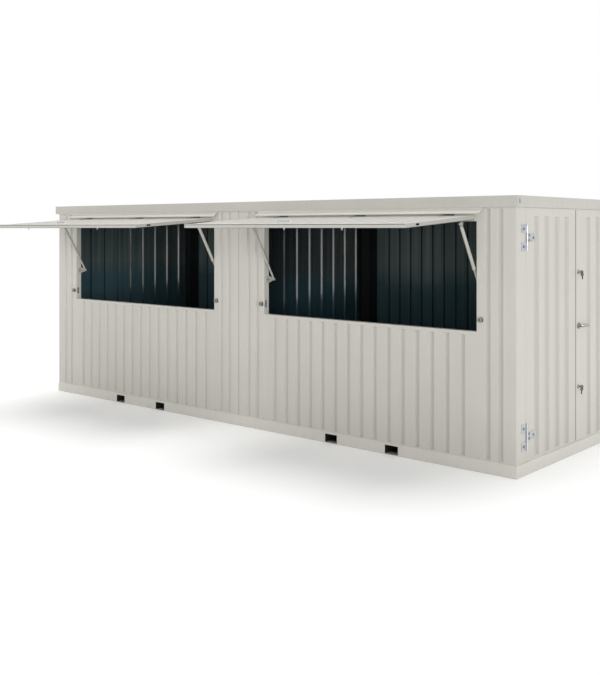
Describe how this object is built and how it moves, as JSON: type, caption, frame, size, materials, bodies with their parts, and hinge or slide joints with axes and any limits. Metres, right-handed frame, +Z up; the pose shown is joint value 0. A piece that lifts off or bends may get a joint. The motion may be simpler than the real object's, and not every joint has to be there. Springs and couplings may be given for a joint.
{
  "type": "container bar",
  "caption": "Coupled sheet-steel container bar with grooved walls, serving hatches under strut-held flaps, a flat roof edge and a double door at one end.",
  "frame": {"origin": "on the ground under the seam between the modules, midway between front and back", "axes": "+X along the front towards the door end, +Y from the hatches to the back wall, +Z up"},
  "size_m": [6.082, 3.2336, 2.2],
  "materials": {
    "wall_paint": "satin",
    "trim_paint": "satin",
    "inside_paint": "gloss",
    "strut_paint": "satin",
    "zinc": "satin",
    "plywood": "matte"
  },
  "bodies": {
    "structure": {"left_base_rails": "trim_paint", "right_base_rails": "trim_paint", "left_base_beams": "trim_paint", "right_base_beams": "trim_paint", "left_fork_pockets": "trim_paint", "right_fork_pockets": "trim_paint", "left_roof_sheet": "trim_paint", "right_roof_sheet": "trim_paint", "left_floor": "plywood", "right_floor": "plywood", "left_counter_panel": "wall_paint", "right_counter_panel": "wall_paint", "left_back_wall": "wall_paint", "right_back_wall": "wall_paint", "left_roof_ends": "wall_paint", "right_roof_ends": "wall_paint", "corner_posts": "wall_paint", "side_panels": "wall_paint", "hatch_sills": "wall_paint", "lintels": "wall_paint", "drip_caps": "wall_paint", "left_end_wall": "wall_paint", "roof_eaves": "wall_paint", "hatch_posts": "trim_paint", "seam_wall": "inside_paint", "strut_brackets": "strut_paint", "hatch_catches": "zinc", "flap_hinges": "zinc", "door_hinge_plates": "zinc"},
    "left_flap": {"left_flap_skin": "wall_paint", "left_flap_lining": "wall_paint", "left_flap_straps": "zinc", "left_flap_lugs": "zinc", "left_flap_pull": "zinc"},
    "left_tubes": {"left_strut_tubes": "strut_paint"},
    "left_rods": {"left_strut_rods": "strut_paint"},
    "right_flap": {"right_flap_skin": "wall_paint", "right_flap_lining": "wall_paint", "right_flap_straps": "zinc", "right_flap_lugs": "zinc", "right_flap_pull": "zinc"},
    "right_tubes": {"right_strut_tubes": "strut_paint"},
    "right_rods": {"right_strut_rods": "strut_paint"},
    "front_door": {"front_door_leaf": "wall_paint", "front_door_straps": "zinc"},
    "back_door": {"back_door_leaf": "wall_paint", "back_door_straps": "zinc", "lever_rose": "zinc", "door_locks": "zinc"},
    "lever": {"door_lever": "zinc"}
  },
  "joints": [
    {"name": "left_flap_hinge", "type": "hinge", "parent": "structure", "child": "left_flap", "pos_m": [-1.5, -1.126, 2.046], "axis": [1, 0, 0], "range_deg": [0, 86]},
    {"name": "left_tubes_hinge", "type": "hinge", "parent": "left_flap", "child": "left_tubes", "pos_m": [-1.5, -1.29061, 1.97735], "axis": [1, 0, 0], "range_deg": [-105.02, 0]},
    {"name": "left_rods_slide", "type": "slide", "parent": "left_tubes", "child": "left_rods", "axis": [0, -0.5014, 0.8652], "range_m": [0, 0.1745]},
    {"name": "right_flap_hinge", "type": "hinge", "parent": "structure", "child": "right_flap", "pos_m": [1.5, -1.126, 2.046], "axis": [1, 0, 0], "range_deg": [0, 86]},
    {"name": "right_tubes_hinge", "type": "hinge", "parent": "right_flap", "child": "right_tubes", "pos_m": [1.5, -1.29061, 1.97735], "axis": [1, 0, 0], "range_deg": [-105.02, 0]},
    {"name": "right_rods_slide", "type": "slide", "parent": "right_tubes", "child": "right_rods", "axis": [0, -0.5014, 0.8652], "range_m": [0, 0.1745]},
    {"name": "front_door_hinge", "type": "hinge", "parent": "structure", "child": "front_door", "pos_m": [3.01, -0.922, 1.1], "axis": [0, 0, -1], "range_deg": [0, 175]},
    {"name": "back_door_hinge", "type": "hinge", "parent": "structure", "child": "back_door", "pos_m": [3.01, 0.922, 1.1], "axis": [0, 0, 1], "range_deg": [0, 175]},
    {"name": "lever_turn", "type": "hinge", "parent": "back_door", "child": "lever", "pos_m": [3.03, 0.051, 1.098], "axis": [-1, 0, 0], "range_deg": [0, 40], "stiffness_Nm_per_rad": 1.5, "springref_deg": -28.65}
  ],
  "couplings": [
    {"joint": "left_tubes_hinge", "follows": "left_flap_hinge", "ratio": -1.2205},
    {"joint": "left_rods_slide", "follows": "left_flap_hinge", "m_per_rad": 0.11614},
    {"joint": "right_tubes_hinge", "follows": "right_flap_hinge", "ratio": -1.2205},
    {"joint": "right_rods_slide", "follows": "right_flap_hinge", "m_per_rad": 0.11614}
  ]
}
